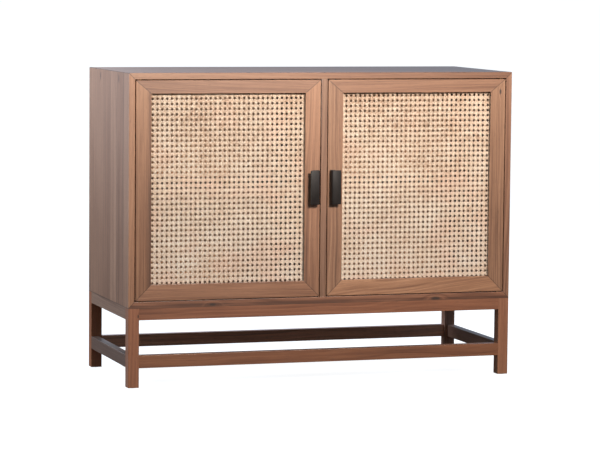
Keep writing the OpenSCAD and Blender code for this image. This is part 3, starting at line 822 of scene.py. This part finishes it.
pull_steel = blackened_steel()
for side in ("left", "right"):
    node = side + "_pull"
    low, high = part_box(node)
    free, inner = (high.x, low.x) if side == "left" else (low.x, high.x)
    inward = math.copysign(FOOT, inner - free)
    bpy.ops.object.select_all(action="DESELECT")
    bpy.ops.mesh.primitive_plane_add(size=1.0, rotation=(math.pi / 2, 0.0, 0.0))
    pull = bpy.context.object
    pull.name = side + "_bent_pull"
    pull.scale = (high.x - low.x, high.z - low.z, 1.0)
    pull.location = ((low.x + high.x) / 2, low.y, (low.z + high.z) / 2)
    bpy.ops.object.transform_apply(location=True, rotation=True, scale=True)
    bpy.ops.object.mode_set(mode="EDIT")
    bpy.ops.mesh.select_mode(type="EDGE")
    bpy.ops.mesh.select_all(action="DESELECT")
    mesh = bmesh.from_edit_mesh(pull.data)
    choose(mesh.edges, lambda edge: all(abs(v.co.x - free) < NEAR for v in edge.verts))
    bmesh.update_edit_mesh(pull.data)
    bpy.ops.mesh.extrude_region_move(TRANSFORM_OT_translate={"value": (0.0, high.y - low.y, 0.0)})
    bpy.ops.mesh.extrude_region_move(TRANSFORM_OT_translate={"value": (inward, 0.0, 0.0)})
    bpy.ops.mesh.select_all(action="DESELECT")
    mesh = bmesh.from_edit_mesh(pull.data)
    choose(mesh.edges, lambda edge: (
        len(edge.link_faces) == 2 and abs(edge.verts[0].co.z - edge.verts[1].co.z) > NEAR))
    bmesh.update_edit_mesh(pull.data)
    bpy.ops.mesh.bevel(offset=BEND, segments=6, affect="EDGES", clamp_overlap=False)
    bpy.ops.mesh.select_mode(type="VERT")
    bpy.ops.mesh.select_all(action="DESELECT")
    mesh = bmesh.from_edit_mesh(pull.data)
    choose(mesh.verts, lambda vertex: (
        min(abs(vertex.co.x - inner), abs(vertex.co.x - free - inward)) < NEAR))
    bmesh.update_edit_mesh(pull.data)
    bpy.ops.mesh.bevel(offset=CORNER, segments=4, affect="VERTICES", clamp_overlap=False)
    bpy.ops.mesh.select_all(action="SELECT")
    bpy.ops.mesh.normals_make_consistent(inside=False)
    bpy.ops.object.mode_set(mode="OBJECT")
    wall = pull.modifiers.new("wall", "SOLIDIFY")
    wall.thickness = STRIP
    wall.offset = -1.0
    wall.use_even_offset = True
    bpy.ops.object.modifier_apply(modifier=wall.name)
    arris = pull.modifiers.new("arris", "BEVEL")
    arris.width = ARRIS
    arris.segments = 2
    arris.limit_method = "ANGLE"
    arris.angle_limit = math.radians(50.0)
    bpy.ops.object.modifier_apply(modifier=arris.name)
    bpy.ops.object.shade_smooth_by_angle(angle=math.radians(40.0))
    pull.data.materials.append(pull_steel)
    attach(pull, "door_" + side)
    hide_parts(node)


# Small parts
# Splines, dowels and blocks of pale joinery wood, beads behind the cane, brass knife hinges and
# shelf pins, steel screws, magnets and strike plates, and nylon catches and glides.
def plain_finish(name, dark, pale, waves, roughness, metallic, depth):
    """A finish with a little cloud and grit, for a small part."""
    made, place, shader = new_material(name)
    cloud = noise(place, waves, 3.0, 0.6)
    grit = noise(place, [wave * 12.0 for wave in waves], 2.0)
    colour = pick(0.6 * cloud + 0.4 * grit, [(0.3, dark), (0.7, pale)])
    finish(shader, colour, roughness + 0.15 * grit, grit, 0.3, depth)
    shader.inputs["Metallic"].default_value = metallic
    return made


finishes = {
    "joinery_wood": plain_finish("joinery_wood", (0.42, 0.27, 0.15), (0.60, 0.43, 0.27),
                                 (90.0, 90.0, 90.0), 0.55, 0.0, 0.0002),
    "brass": plain_finish("brass", (0.30, 0.19, 0.07), (0.42, 0.28, 0.12),
                          (60.0, 240.0, 60.0), 0.28, 1.0, 0.00005),
    "steel": plain_finish("steel", (0.42, 0.42, 0.41), (0.60, 0.60, 0.59),
                          (120.0, 120.0, 120.0), 0.28, 1.0, 0.00005),
    "nylon": plain_finish("nylon", (0.050, 0.032, 0.024), (0.070, 0.046, 0.034),
                          (80.0, 80.0, 80.0), 0.45, 0.0, 0.0001),
}
for piece in nodes.values():
    if piece.hide_render:
        continue
    slot = piece.data.materials[0].name
    if slot in finishes:
        piece.material_slots[0].material = finishes[slot]
for seed, side in enumerate(("left", "right"), 94):
    wood(eased_board(side + "_cane_beads", 0.0004), "Z", seed, (0.95, 0.90, 0.88))
